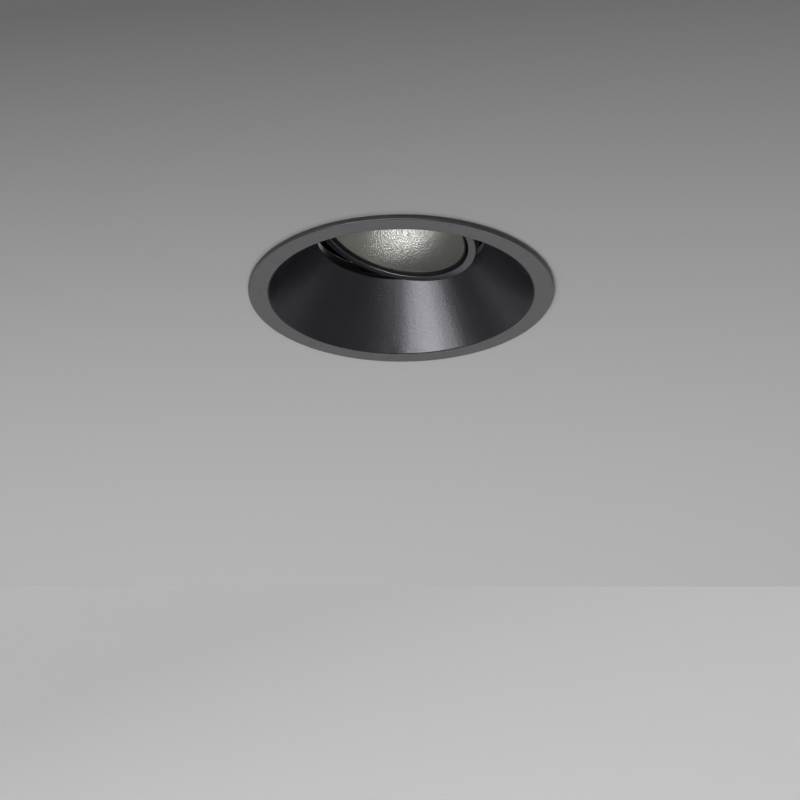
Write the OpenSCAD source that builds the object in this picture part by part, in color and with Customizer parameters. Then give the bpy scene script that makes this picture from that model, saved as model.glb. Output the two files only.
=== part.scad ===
// Recessed adjustable soffit downlight: a dark die-cast trim with a deep glare cone,
// a swivel ring and yoke, a tilting lamp with a finned heat sink, and two sprung clips
// that hold it up in a round cut-out.
// Origin: centre of the ceiling plane. +Z points up into the ceiling void, -Z into the room.

/* [Trim] */
// Outer diameter of the visible flange
flange_d = 110; // [106:1:120]
// Diameter of the hole in the ceiling board
cutout_d = 100; // [100:0.5:102]
// Diameter of the cone where it meets the flange face
mouth_d = 95.7; // [95:0.1:96]
// Depth of the flange face below the ceiling plane
flange_drop = 2.1; // [1.8:0.1:3]
// Thickness of the pressed sealing gasket between flange and ceiling
gasket_t = 0.5; // [0.3:0.1:1]
// Diameter of the cone's upper opening
opening_d = 61.2; // [61:0.1:62]
// Height of the cone's upper opening above the ceiling plane
opening_z = 20.8; // [20:0.1:21]
// Wall thickness of the cone casting
cone_wall = 1.8; // [1.4:0.1:2.2]
// Number of stiffening webs round the cone, two of which give way to the clip pads
web_count = 8; // [4:4:8]

/* [Swivel] */
// Turn of the lamp's tilting plane from +X
lamp_turn = 10.5; // [0:0.5:30]
// Swivel travel each way from rest
swivel_limit = 175; // [170:1:175]

/* [Lamp] */
// Tilt of the lamp as the light is shown, its low side towards the turned +X
lamp_tilt = 14; // [0:1:30]
// Greatest tilt that the arc slot allows
tilt_max = 30; // [25:1:30]
// Height of the tilt pivots above the ceiling plane
pivot_z = 31.4; // [31.2:0.1:32]
// Distance from the pivots down to the lamp ring's face
ring_drop = 9.4; // [9.2:0.1:9.6]
// Outer diameter of the lamp ring
ring_d = 60.6; // [60:0.1:60.8]
// Inner diameter of the lamp ring's face
ring_open_d = 54.4; // [54:0.1:55]
// Outer diameter of the lamp barrel
barrel_d = 57.2; // [57:0.1:57.4]
// Number of forked fins on the heat sink
fin_count = 24; // [18:2:26]
// Height of the heat sink's top above the pivots
sink_top = 47; // [42:1:47]

/* [Spring clips] */
// Distance of each clip pin from the centre line
pin_x = 45.5; // [45:0.1:45.6]
// Height of each clip pin above the ceiling plane
pin_z = 25; // [24:0.5:25]
// Angle of a released clip arm from level
arm_angle = -50; // [-50:1:-40]
// Length of a clip arm from its pin
arm_len = 28.5; // [26:0.5:28.5]

/* [Hidden] */
$fn = 96;
small = 24;                                  // segments on screws and other small rounds
slack = 0.01;                                // overlap that makes a cut pass a face

// trim casting
flange_r = flange_d / 2;
mouth_r = mouth_d / 2;
opening_r = opening_d / 2;
flange_z = -flange_drop;
flange_edge = 0.5;                           // radius of the flange's rounded lower edge
mouth_break = 0.25;                          // step and gap between flange and cone
register_r = mouth_r + mouth_break;          // the flange is pressed onto the cone here
spigot_r = cutout_d / 2 - 0.8;
spigot_h = 4;
spigot_t = 1.3;
cone_slope = (mouth_r - opening_r) / (opening_z - flange_z);
cone_out = cone_wall * sqrt(1 + cone_slope * cone_slope);   // wall measured level
gasket_in = spigot_r + 1.1;
gasket_out = flange_r - 0.8;

// shoulder and neck that hold the swivel ring
shoulder_t = 1.6;
shoulder_z = opening_z + shoulder_t;
neck_in = 40.5;
neck_out = 42.3;
neck_top = 26.4;
neck_flat = 41.7;                            // flats under the clip brackets
boss_pos = 43.6;                             // screw bosses round the neck
boss_r = 2.9;
boss_low = 16.4;
boss_angles = [45, 135, 225, 315];
web_t = 1.8;
pad_half = 8;                                // half width of the clip pads
pad_low = 9;

// swivel ring and what holds it
glide_t = 0.45;
swivel_z = shoulder_z + glide_t + 0.05;
swivel_top = 26.2;
swivel_in = 32.2;
swivel_out = 40.2;
step_r = 38.4;                               // the ring's lower rim starts here
step_z = 25.6;
retainer_in = 38.5;
retainer_t = 1.4;
stop_r = 37.5;
stop_pin_r = 0.8;
stop_half = 3;                               // half angle of the stop tooth

// yoke
arm_in = 32.6;
arm_t = 1.6;
arm_round = 5;                               // rounding of the arms about the pivots
foot_in = 33;
foot_out = 36.6;
foot_half = 23;                              // half angle of a yoke foot
foot_t = 1.6;
foot_screw_r = 34.7;
foot_screw_angle = 19;
lock_r = 12;                                 // radius of the arc slot
lock_shank = 1.5;
slot_half = 1.65;
pivot_shank = 2;
boss_end = 31.6;                             // end of the barrel's pivot bosses
pivot_boss_r = 4;

// lamp, measured from the pivot along the lamp's own axis
ring_r = ring_d / 2;
ring_open_r = ring_open_d / 2;
ring_z = -ring_drop;
ring_t = 2;
skirt_z = -4.2;
barrel_r = barrel_d / 2;
barrel_bore = 27;
barrel_low = ring_z + ring_t + 0.2;
barrel_top = 18.4;
end_wall = 1.8;
end_bore = 22.6;
reflector_rim_r = 25.7;
reflector_rim_z = ring_z + 0.7;
reflector_t = 0.7;
throat_r = 8.4;
throat_z = 12.2;
collar_z = 14.9;
window_t = 1.5;
holder_z = collar_z + window_t;
holder_r = 21.5;
holder_screw_pos = 17.5;
board_side = 19;
board_z = 17.2;
barrel_screw_pos = 25;
base_z = barrel_top + 0.2;
base_t = 4;
fin_z = base_z + base_t;
core_r = 10.5;
fin_t = 1.3;
fork_r = 17;
fork_angle = 11;
sink_r = 27;
sink_top_r = 20.5;
channel_r = 3.4;
cap_r = 11.5;
cap_t = 2;
cap_screw_pos = 7.6;
cap_top = sink_top + cap_t;
cable_r = 2.75;                              // bore of the gland's seal

// spring clips
pin_r = 1.1;
ear_r = 2.8;
ear_in = 7;
ear_out = 8;
plate_t = 0.8;
knuckle_r = 2.3;
knuckle_in = 3.6;
knuckle_out = 6.8;
leaf_t = 1.2;
leaf_half = 6.9;
leaf_lip = 1.2;                              // depth of the arm's folded edges
pad_cover = 0.8;
coil_r = 2;
wire_r = 0.45;
coil_half = 2.3;                             // half length of the coil
coil_turns = 4;                              // whole turns beyond the part turn

// ---------- shared shapes ----------

// Flat ring or tube from z0 to z1
module ring(inner, outer, z0, z1) {
    translate([0, 0, z0]) difference() {
        cylinder(r = outer, h = z1 - z0);
        translate([0, 0, -1]) cylinder(r = inner, h = z1 - z0 + 2);
    }
}

// Disc from z0 to z1
module disc(r, z0, z1) {
    translate([0, 0, z0]) cylinder(r = r, h = z1 - z0);
}

// Outline in the XZ plane, extruded a width w about the XZ plane
module across_y(w) {
    rotate([90, 0, 0]) linear_extrude(height = w, center = true) children();
}

// Socket-head screw: head above z = 0, shank below
module socket_screw(shank, length, head, head_h) {
    difference() {
        union() {
            cylinder(r = head, h = head_h * 0.75, $fn = small);
            translate([0, 0, head_h * 0.75])
                cylinder(r1 = head, r2 = head * 0.82, h = head_h * 0.25, $fn = small);
            translate([0, 0, -length]) cylinder(r = shank, h = length + slack, $fn = small);
        }
        translate([0, 0, head_h * 0.4]) cylinder(r = head * 0.55, h = head_h, $fn = 6);
    }
}

// Children copied round the Z axis at each angle
module at_angles(angles) {
    for (a = angles) rotate([0, 0, a]) children();
}

// Children carried by the swivel ring
module on_swivel() {
    rotate([0, 0, lamp_turn]) children();
}

// Children carried by the tilting lamp, in the lamp's own axes about its pivot
module on_lamp() {
    on_swivel() translate([0, 0, pivot_z]) rotate([0, lamp_tilt, 0]) children();
}

// Children placed at the right-hand (0) or left-hand (180) clip's pin
module at_clip(turn) {
    rotate([0, 0, turn]) translate([pin_x, 0, pin_z]) children();
}

// Children carried by a clip arm: X runs along the arm, Z is its upper side
module on_arm(turn) {
    at_clip(turn) rotate([0, -arm_angle, 0]) children();
}

// ---------- trim ----------

// Flat ring seen from the room, pressed up onto the cone's register
module trim_flange() {
    square_low = flange_z + flange_edge;
    color("#3a3b3f") rotate_extrude() union() {
        polygon([
            [register_r, flange_z],
            [flange_r - flange_edge, flange_z],
            [flange_r - flange_edge, square_low],
            [flange_r, square_low],
            [flange_r, -gasket_t - 0.2],
            [flange_r - 0.2, -gasket_t],
            [register_r, -gasket_t]]);
        translate([flange_r - flange_edge, square_low]) circle(r = flange_edge, $fn = 32);
    }
}

// Section of the cone casting: register, spigot, cone and shoulder
module cone_section() {
    spigot_in = spigot_r - spigot_t;
    spigot_foot = flange_z + (mouth_r + cone_out - spigot_in) / cone_slope;
    polygon([
        [mouth_r - mouth_break * cone_slope, flange_z + mouth_break],
        [register_r, flange_z + mouth_break],
        [register_r, -gasket_t],
        [spigot_r, -gasket_t],
        [spigot_r, spigot_h],
        [spigot_in, spigot_h],
        [spigot_in, spigot_foot],
        [opening_r + cone_out, opening_z],
        [neck_out, opening_z],
        [neck_out, shoulder_z],
        [opening_r + 1.2, shoulder_z],
        [opening_r, opening_z]]);
}

// Web between the cone's back and the neck
module trim_web() {
    web_foot = 1;
    across_y(web_t) polygon([
        [mouth_r + cone_out / 2 - cone_slope * (web_foot - flange_z), web_foot],
        [spigot_r - 0.6, web_foot],
        [spigot_r - 0.6, spigot_h - 0.4],
        [neck_out - 0.3, opening_z + 0.6],
        [opening_r + cone_out / 2, opening_z + 0.6]]);
}

// Pad that carries a clip bracket
module clip_pad_block() {
    across_y(2 * pad_half) polygon([
        [mouth_r + cone_out / 2 - cone_slope * (pad_low - flange_z), pad_low],
        [neck_flat + 0.5, pad_low],
        [neck_flat + 0.5, opening_z + 0.6],
        [opening_r + cone_out / 2, opening_z + 0.6]]);
}

// Flats under the clip brackets, to be cut away
module bracket_flats() {
    at_angles([0, 180]) translate([neck_flat, -pad_half - 2, pad_low - 1])
        cube([6, 2 * pad_half + 4, 20]);
}

module trim_cone() {
    color("#36373b") difference() {
        union() {
            rotate_extrude() cone_section();
            at_angles([for (i = [0 : web_count - 1]) if (i % (web_count / 2) != 0) i * 360 / web_count])
                trim_web();
            at_angles([0, 180]) clip_pad_block();
            at_angles(boss_angles) translate([boss_pos, 0, boss_low])
                cylinder(r = boss_r, h = shoulder_z - boss_low, $fn = small * 2);
        }
        at_angles(boss_angles) translate([boss_pos, 0, boss_low + 1.6])
            cylinder(r = 1.05, h = 8, $fn = small);
        bracket_flats();
        at_angles([0, 180]) for (side = [-1, 1])
            translate([neck_flat + 1, side * 4, 15.5]) rotate([0, -90, 0])
                cylinder(r = 1.05, h = 4.6, $fn = small);
    }
}

// Spacer round the swivel ring, clamped between the cone's shoulder and the retaining ring
module neck_ring() {
    color("#54565b") difference() {
        union() {
            ring(neck_in, neck_out, shoulder_z, neck_top);
            at_angles(boss_angles) translate([boss_pos, 0, shoulder_z])
                cylinder(r = boss_r, h = neck_top - shoulder_z, $fn = small * 2);
        }
        at_angles(boss_angles) translate([boss_pos, 0, shoulder_z - 1])
            cylinder(r = 1.15, h = 8, $fn = small);
        bracket_flats();
    }
}

module ceiling_gasket() {
    color("#1c1c1e") ring(gasket_in, gasket_out, -gasket_t, 0);
}

// ---------- swivel bearing ----------

module glide_ring() {
    color("#e9e9e4") ring(swivel_in + 0.9, neck_in - 0.3, shoulder_z, shoulder_z + glide_t);
}

module friction_ring() {
    color("#d8d8d0") ring(step_r + 0.2, neck_in - 0.4, step_z + 0.05, neck_top - 0.05);
}

module retaining_ring() {
    tooth = 1.7;
    color("#8d9095") difference() {
        union() {
            ring(retainer_in, neck_out, neck_top, neck_top + retainer_t);
            at_angles(boss_angles) translate([boss_pos, 0, neck_top])
                cylinder(r = boss_r, h = retainer_t, $fn = small * 2);
            on_swivel() intersection() {
                ring(retainer_in - tooth, retainer_in + 0.5, neck_top, neck_top + retainer_t);
                translate([-retainer_in, 0, neck_top + 1])
                    cube([10, 2 * stop_r * sin(stop_half), 4], center = true);
            }
        }
        translate([0, 0, neck_top - 1]) at_angles(boss_angles) translate([boss_pos, 0, 0])
            cylinder(r = 1.15, h = 4, $fn = small);
        at_angles([0, 180]) translate([neck_flat, -pad_half - 2, neck_top - 1])
            cube([6, 2 * pad_half + 4, 4]);
    }
}

module retaining_screws() {
    color("#b9bcc0") at_angles(boss_angles) translate([boss_pos, 0, neck_top + retainer_t])
        socket_screw(1, 9, 1.9, 1.6);
}

module swivel_ring() {
    color("#54565b") difference() {
        rotate_extrude() polygon([
            [swivel_in, swivel_z + 0.4],
            [swivel_in + 0.4, swivel_z],
            [swivel_out, swivel_z],
            [swivel_out, step_z],
            [step_r, step_z],
            [step_r, swivel_top],
            [swivel_in + 0.4, swivel_top],
            [swivel_in, swivel_top - 0.4]]);
        on_swivel() {
            at_angles([90, 270]) for (s = [-1, 1]) rotate([0, 0, s * foot_screw_angle])
                translate([foot_screw_r, 0, swivel_top - 2.4]) cylinder(r = 1.1, h = 3, $fn = small);
            translate([stop_r, 0, swivel_top - 2]) cylinder(r = stop_pin_r + 0.02, h = 3, $fn = small);
        }
    }
}

module stop_pin() {
    color("#c4c6c9") on_swivel() translate([stop_r, 0, swivel_top - 1.9]) {
        cylinder(r = stop_pin_r, h = 3, $fn = small);
        translate([0, 0, 3]) cylinder(r1 = stop_pin_r, r2 = 0.5, h = 0.3, $fn = small);
    }
}

// ---------- yoke ----------

// Foot that lies on the swivel ring, centred on +Y
module yoke_foot() {
    difference() {
        rotate([0, 0, 90 - foot_half]) rotate_extrude(angle = 2 * foot_half)
            translate([foot_in, swivel_top]) square([foot_out - foot_in, foot_t]);
        for (s = [-1, 1]) rotate([0, 0, 90 + s * foot_screw_angle])
            translate([foot_screw_r, 0, swivel_top - 1]) cylinder(r = 1.25, h = 4, $fn = small);
    }
}

// Upright plate centred on +Y, with its outline given in the XZ plane
module yoke_upright() {
    translate([0, arm_in + arm_t / 2, 0]) across_y(arm_t) difference() {
        children();
        translate([0, pivot_z]) circle(r = pivot_shank + 0.1, $fn = 48);
    }
}

// Outline that rises from the foot to the pivot
module upright_base_2d() {
    polygon([[-8, swivel_top + 0.2], [8, swivel_top + 0.2], [arm_round - 0.4, pivot_z + 2],
        [0.4 - arm_round, pivot_z + 2]]);
}

// Slotted plate: the lock screw slides in an arc about the pivot
module slotted_plate_2d() {
    half = tilt_max / 2;
    head = lock_r + slot_half + 2.6;
    difference() {
        union() {
            upright_base_2d();
            intersection() {
                translate([0, pivot_z]) circle(r = head);
                translate([0, pivot_z]) polygon([[0, -4], [head, head * 0.62], [head, head * 1.5],
                    [-head, head * 1.5], [-head, head * 0.62]]);
            }
            translate([0, pivot_z]) circle(r = arm_round);
        }
        translate([0, pivot_z]) {
            intersection() {
                difference() {
                    circle(r = lock_r + slot_half);
                    circle(r = lock_r - slot_half);
                }
                polygon([[0, 0], 20 * [sin(half + 1), cos(half + 1)], [0, 25],
                    20 * [-sin(half + 1), cos(half + 1)]]);
            }
            for (s = [-1, 1]) translate(lock_r * [s * sin(half + 1), cos(half + 1)])
                circle(r = slot_half, $fn = 48);
        }
    }
}

module yoke_arm_slotted() {
    color("#4a4c51") on_swivel() rotate([0, 0, 180]) mirror([1, 0, 0]) {
        yoke_foot();
        yoke_upright() slotted_plate_2d();
    }
}

module yoke_arm_plain() {
    color("#4a4c51") on_swivel() {
        yoke_foot();
        yoke_upright() union() {
            upright_base_2d();
            translate([0, pivot_z]) circle(r = arm_round);
        }
    }
}

module yoke_screws() {
    color("#b9bcc0") on_swivel() at_angles([90, 270]) for (s = [-1, 1])
        rotate([0, 0, s * foot_screw_angle]) translate([foot_screw_r, 0, swivel_top + foot_t])
            socket_screw(1.05, 3.8, 1.85, 1.6);
}

// Children turned so that their +Z points along a pivot, outwards
module at_pivots() {
    for (s = [-1, 1]) rotate([-s * 90, 0, 0]) children();
}

module pivot_screws() {
    color("#b9bcc0") on_lamp() at_pivots() translate([0, 0, arm_in + arm_t + 0.1])
        socket_screw(pivot_shank, 5.4, 3.2, 2);
}

module friction_washers() {
    color("#e2e0d8") on_lamp() at_pivots()
        ring(pivot_shank + 0.1, pivot_boss_r, boss_end, arm_in - 0.1);
}

// Lock screw's place on the lamp, on the slotted arm's side
module at_lock() {
    rotate([0, -tilt_max / 2, 0]) translate([0, 0, lock_r]) rotate([90, 0, 0]) children();
}

module tilt_lock_screw() {
    color("#c4c6c9") on_lamp() at_lock() translate([0, 0, arm_in + arm_t + 0.8])
        socket_screw(lock_shank, 6, 2.6, 1.8);
}

module lock_washer() {
    color("#8d9095") on_lamp() at_lock()
        ring(lock_shank + 0.1, 3, arm_in + arm_t + 0.1, arm_in + arm_t + 0.8);
}

// ---------- lamp ----------

module lamp_ring() {
    edge = 0.5;
    color("#4b4c50") on_lamp() rotate_extrude() union() {
        polygon([
            [ring_open_r + edge, ring_z],
            [ring_r - edge, ring_z],
            [ring_r - edge, ring_z + edge],
            [ring_r, ring_z + edge],
            [ring_r, skirt_z],
            [barrel_r + 0.1, skirt_z],
            [barrel_r + 0.1, ring_z + ring_t],
            [ring_open_r, ring_z + ring_t],
            [ring_open_r, ring_z + edge]]);
        translate([ring_r - edge, ring_z + edge]) circle(r = edge, $fn = 32);
    }
}

module ring_seal() {
    color("#1c1c1e") on_lamp() ring(barrel_bore + 0.2, barrel_r, ring_z + ring_t, barrel_low);
}

module lamp_barrel() {
    groove = 0.5;
    color("#303136") on_lamp() difference() {
        union() {
            rotate_extrude() polygon([
                [barrel_bore, barrel_low],
                [barrel_r, barrel_low],
                [barrel_r, 7],
                [barrel_r - groove, 7 + groove],
                [barrel_r - groove, 14],
                [barrel_r, 14 + groove],
                [barrel_r, barrel_top],
                [end_bore, barrel_top],
                [end_bore, barrel_top - end_wall],
                [barrel_bore, barrel_top - end_wall]]);
            intersection() {
                union() {
                    at_pivots() cylinder(r = pivot_boss_r, h = boss_end, $fn = 48);
                    at_lock() cylinder(r = 3, h = arm_in - 0.2, $fn = 48);
                }
                ring(barrel_bore + 0.4, 40, -6, barrel_top);
            }
        }
        at_pivots() cylinder(r = pivot_shank + 0.02, h = 40, $fn = 48);
        at_lock() cylinder(r = lock_shank + 0.02, h = 40, $fn = 48);
        at_angles([30, 150, 270]) translate([barrel_screw_pos, 0, barrel_top - end_wall - 1])
            cylinder(r = 1.35, h = 4, $fn = small);
    }
}

module barrel_screws() {
    color("#b9bcc0") on_lamp() at_angles([30, 150, 270])
        translate([barrel_screw_pos, 0, barrel_top - end_wall]) mirror([0, 0, 1])
            socket_screw(1.2, 5, 1.9, 1.6);
}

module barrel_seal() {
    color("#1c1c1e") on_lamp() difference() {
        ring(end_bore + 0.3, barrel_r - 0.3, barrel_top, base_z);
        at_angles([30, 150, 270]) translate([barrel_screw_pos, 0, barrel_top - 1])
            cylinder(r = 1.4, h = 3, $fn = small);
    }
}

// The bowl is part of an ellipse: upright at its rim, closing in to the throat
bowl_end = acos(throat_r / reflector_rim_r);
bowl_h = (throat_z - reflector_rim_z) / sin(bowl_end);

// Point of the bowl's section at angle a up from the rim, moved out by t
function bowl_point(a, t) =
    let (n = [bowl_h * cos(a), reflector_rim_r * sin(a)])
    [reflector_rim_r * cos(a), reflector_rim_z + bowl_h * sin(a)] + t * n / norm(n);

module reflector() {
    steps = 20;
    collar_r = throat_r + 1.1;
    color("#cfd0ce") on_lamp() rotate_extrude() polygon(concat(
        [for (i = [0 : steps]) bowl_point(bowl_end * i / steps, 0)],
        [[throat_r, collar_z], [collar_r, collar_z], [collar_r, throat_z + 0.4]],
        [for (i = [steps - 1 : -1 : 0]) bowl_point(bowl_end * i / steps, reflector_t)]));
}

module led_window() {
    color("#dfe8ea", 0.5) on_lamp() disc(throat_r + 1.1, collar_z, holder_z);
}

module led_holder() {
    cup_in = throat_r + 1.2;
    color("#ececea") on_lamp() difference() {
        union() {
            disc(holder_r, holder_z, barrel_top);
            ring(cup_in, cup_in + 1.7, throat_z + 0.8, holder_z + slack);
        }
        disc(throat_r + 0.2, holder_z - 1, barrel_top + 1);
        translate([-board_side / 2 - 0.2, -board_side / 2 - 0.2, board_z - 0.1])
            cube([board_side + 0.4, board_side + 0.4, 3]);
        at_angles([45, 225]) translate([holder_screw_pos, 0, holder_z - 1])
            cylinder(r = 1.65, h = 5, $fn = small);
        translate([14, -1.6, holder_z - 1]) cube([3.4, 3.2, 5]);
    }
}

module holder_screws() {
    color("#b9bcc0") on_lamp() at_angles([45, 225]) translate([holder_screw_pos, 0, holder_z])
        mirror([0, 0, 1]) socket_screw(1.45, 5.4, 2.6, 1.6);
}

module led_board() {
    color("#d9dadb") on_lamp() translate([-board_side / 2, -board_side / 2, board_z])
        cube([board_side, board_side, barrel_top - board_z]);
}

module led_emitter() {
    color("#f0cf52") on_lamp() disc(7, board_z - 0.5, board_z);
}

module thermal_pad() {
    color("#8a8f98") on_lamp() translate([-board_side / 2, -board_side / 2, barrel_top])
        cube([board_side, board_side, base_z - barrel_top]);
}

// One fin of the extruded star, forked towards its tip
module fin_2d() {
    translate([core_r - 0.6, -fin_t / 2]) square([fork_r - core_r + 0.9, fin_t]);
    for (s = [-1, 1]) translate([fork_r - 0.6, s * fin_t * 0.18]) rotate([0, 0, s * fork_angle])
        translate([0, -fin_t * 0.4]) square([sink_r, fin_t * 0.8]);
}

// Outer form that the star is turned down to
module sink_envelope() {
    rotate_extrude() polygon([[0, fin_z - 0.5], [sink_r, fin_z - 0.5], [sink_r, sink_top - 15],
        [sink_r - 1.6, sink_top - 8.5], [sink_top_r, sink_top], [0, sink_top]]);
}

module heat_sink() {
    color("#a9acb0") on_lamp() difference() {
        union() {
            rotate_extrude() polygon([[0, base_z], [barrel_r - 0.4, base_z], [barrel_r, base_z + 0.4],
                [barrel_r, fin_z - 0.6], [barrel_r - 0.6, fin_z], [0, fin_z]]);
            intersection() {
                translate([0, 0, fin_z - 0.3]) linear_extrude(height = sink_top) union() {
                    circle(r = core_r);
                    for (i = [0 : fin_count - 1]) rotate([0, 0, i * 360 / fin_count]) fin_2d();
                }
                sink_envelope();
            }
        }
        disc(channel_r, base_z - 1, sink_top + 1);
        disc(4.5, sink_top - 2.8, sink_top + 1);
        translate([0, -1.6, base_z - 1]) cube([17.4, 3.2, 3.2]);
        at_angles([45, 225]) translate([holder_screw_pos, 0, base_z - 1])
            cylinder(r = 1.5, h = 4.8, $fn = small);
        at_angles([30, 150, 270]) translate([barrel_screw_pos, 0, base_z - 1])
            cylinder(r = 1.25, h = 4.6, $fn = small);
        at_angles([0, 120, 240]) translate([cap_screw_pos, 0, sink_top - 6])
            cylinder(r = 1.05, h = 7, $fn = small);
    }
}

module rear_cap() {
    color("#3a3b3f") on_lamp() difference() {
        rotate_extrude() polygon([[4.5, sink_top], [cap_r, sink_top], [cap_r, cap_top - 0.7],
            [cap_r - 0.7, cap_top], [4.5, cap_top]]);
        at_angles([0, 120, 240]) translate([cap_screw_pos, 0, sink_top - 1]) {
            cylinder(r = 1.15, h = 4, $fn = small);
            translate([0, 0, 1.2]) cylinder(r = 1.95, h = 3, $fn = small);
        }
    }
}

module rear_cap_screws() {
    color("#b9bcc0") on_lamp() at_angles([0, 120, 240])
        translate([cap_screw_pos, 0, sink_top + 0.2]) socket_screw(1, 5, 1.85, 1.5);
}

// ---------- cable gland ----------

module gland_body() {
    hex_z = cap_top + 3.2;
    color("#26272a") on_lamp() difference() {
        union() {
            disc(4.4, sink_top - 2.6, cap_top);
            translate([0, 0, cap_top]) cylinder(r = 5.6, h = hex_z - cap_top, $fn = 6);
            disc(4.8, hex_z, hex_z + 5);
        }
        disc(3.3, sink_top - 3, hex_z + 6);
        disc(4.1, hex_z + 1, hex_z + 6);
    }
}

module gland_seal() {
    seat_z = cap_top + 4.2;
    color("#141415") on_lamp() rotate_extrude() polygon([[cable_r, seat_z], [4, seat_z],
        [4, seat_z + 4.2], [3.6, seat_z + 6.4], [cable_r, seat_z + 6.4]]);
}

module gland_nut() {
    nut_z = cap_top + 3.4;
    grips = 12;
    color("#26272a") on_lamp() difference() {
        rotate_extrude() polygon([[4.9, nut_z], [6.4, nut_z], [6.4, nut_z + 5.4], [5.6, nut_z + 8],
            [4.4, nut_z + 8.8], [3.3, nut_z + 8.8], [3.3, nut_z + 8.2], [4.3, nut_z + 5], [4.9, nut_z + 5]]);
        at_angles([for (i = [0 : grips - 1]) i * 360 / grips]) translate([7, 0, nut_z - 1])
            cylinder(r = 0.9, h = 6.4, $fn = small);
    }
}

// ---------- spring clips ----------

module clip_bracket(turn) {
    back_x = neck_flat - pin_x;
    low_z = 11 - pin_z;
    top_z = neck_top - 0.2 - pin_z;
    stop_in = 5.2;                           // the stops reach in under the arm
    stop_low = -leaf_t / 2 - 1.15;
    ear_front = 2.6;
    color("#9a9da1") at_clip(turn) difference() {
        union() {
            translate([back_x, -ear_out, low_z]) cube([plate_t, 2 * ear_out, top_z - low_z]);
            for (s = [-1, 1]) translate([0, s * (ear_in + ear_out) / 2, 0]) across_y(ear_out - ear_in)
                union() {
                    circle(r = ear_r, $fn = small * 2);
                    polygon([[back_x, low_z + 5], [back_x + 1.8, low_z + 5], [0.4, -5.8],
                        [ear_front, -5.4], [ear_front, -0.6], [0, 0], [0, top_z], [back_x, top_z]]);
                }
            for (s = [-1, 1]) rotate([0, -arm_angle, 0])
                translate([3.1, s > 0 ? stop_in : 0.4 - ear_out, stop_low])
                    cube([1.3, ear_out - 0.4 - stop_in, 1.1]);
        }
        rotate([90, 0, 0]) cylinder(r = pin_r + 0.04, h = 30, center = true, $fn = small * 2);
        for (s = [-1, 1]) translate([back_x - 1, s * 4, 15.5 - pin_z]) rotate([0, 90, 0])
            cylinder(r = 1.2, h = 3, $fn = small);
    }
}

module bracket_screws() {
    color("#b9bcc0") at_angles([0, 180]) for (s = [-1, 1])
        translate([neck_flat + plate_t, s * 4, 15.5]) rotate([0, 90, 0])
            socket_screw(1, 4.2, 1.9, 1.4);
}

module clip_pin(turn) {
    color("#c4c6c9") at_clip(turn) rotate([90, 0, 0]) {
        translate([0, 0, -ear_out - 1.1]) cylinder(r = pin_r, h = 2 * ear_out + 2.1, $fn = small * 2);
        translate([0, 0, ear_out]) cylinder(r = 1.9, h = 0.9, $fn = small);
    }
}

module pin_clips() {
    color("#8d9095") for (turn = [0, 180]) at_clip(turn) rotate([90, 0, 0]) difference() {
        ring(pin_r, 2, -ear_out - 0.65, -ear_out - 0.05);
        translate([-0.6, 0.4, -ear_out - 1]) cube([1.2, 3, 2]);
    }
}

// Leaf of a clip arm: a channel pressed from spring steel, with two rolled knuckles
module clip_arm(turn) {
    corner = 3;
    strip = knuckle_out - knuckle_in;
    color("#b4b7ba") on_arm(turn) difference() {
        union() {
            for (s = [-1, 1]) translate([0, s * (knuckle_in + knuckle_out) / 2, 0]) {
                rotate([90, 0, 0]) cylinder(r = knuckle_r, h = strip, center = true, $fn = 48);
                translate([0, -strip / 2, -leaf_t / 2]) cube([8, strip, leaf_t]);
            }
            translate([0, 0, -leaf_t / 2]) linear_extrude(height = leaf_t) union() {
                translate([5.5, -knuckle_out]) square([3, 2 * knuckle_out]);
                translate([8, -leaf_half]) square([arm_len - corner - 8, 2 * leaf_half]);
                for (s = [-1, 1]) translate([arm_len - corner, s * (leaf_half - corner)])
                    circle(r = corner, $fn = 48);
                translate([arm_len - corner - 1, corner - leaf_half])
                    square([corner + 1, 2 * (leaf_half - corner)]);
            }
            for (s = [-1, 1]) translate([10, s > 0 ? leaf_half - 1 : -leaf_half, -leaf_t / 2 - leaf_lip])
                cube([arm_len - 14, 1, leaf_lip + slack]);
        }
        rotate([90, 0, 0]) cylinder(r = pin_r + 0.08, h = 20, center = true, $fn = small * 2);
        translate([9.5, -1.6, -2]) cube([5, 3.2, 4]);
        for (u = [9.5, 14.5]) translate([u, 0, -2]) cylinder(r = 1.6, h = 4, $fn = small);
    }
}

// Soft sleeve over the arm's end, with a rounded nose
module clip_pad(turn) {
    nose = 1.6;
    start = arm_len - 11.5;
    end = arm_len + 1;
    low = -leaf_t / 2 - leaf_lip - pad_cover;
    high = leaf_t / 2 + pad_cover;
    gap = 0.05;
    color("#202124") on_arm(turn) difference() {
        across_y(2 * (leaf_half + pad_cover)) union() {
            translate([start, low]) square([end - nose - start, high - low]);
            translate([end - nose - slack, low + nose]) square([nose + slack, high - low - 2 * nose]);
            for (v = [low + nose, high - nose]) translate([end - nose, v]) circle(r = nose, $fn = 48);
        }
        translate([start - 1, -leaf_half - gap, low + pad_cover - gap])
            cube([arm_len - start - 3, 2 * (leaf_half + gap), leaf_t + leaf_lip + 2 * gap]);
        translate([start, -leaf_half - gap, -leaf_t / 2 - gap])
            cube([arm_len - start + gap, 2 * (leaf_half + gap), leaf_t + 2 * gap]);
    }
}

// ----- torsion spring: fixed leg on the bracket, coil round the pin, live leg on the arm -----

leave_angle = 90 + arm_angle;
coil_sweep = 180 - leave_angle + 360 * coil_turns;
coil_steps = 84;
leg_v = leaf_t / 2 + wire_r + 0.05;

// Point at distance u along the arm and v above it, at y
function arm_point(u, v, y) =
    [u * cos(arm_angle) - v * sin(arm_angle), y, u * sin(arm_angle) + v * cos(arm_angle)];

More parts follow.
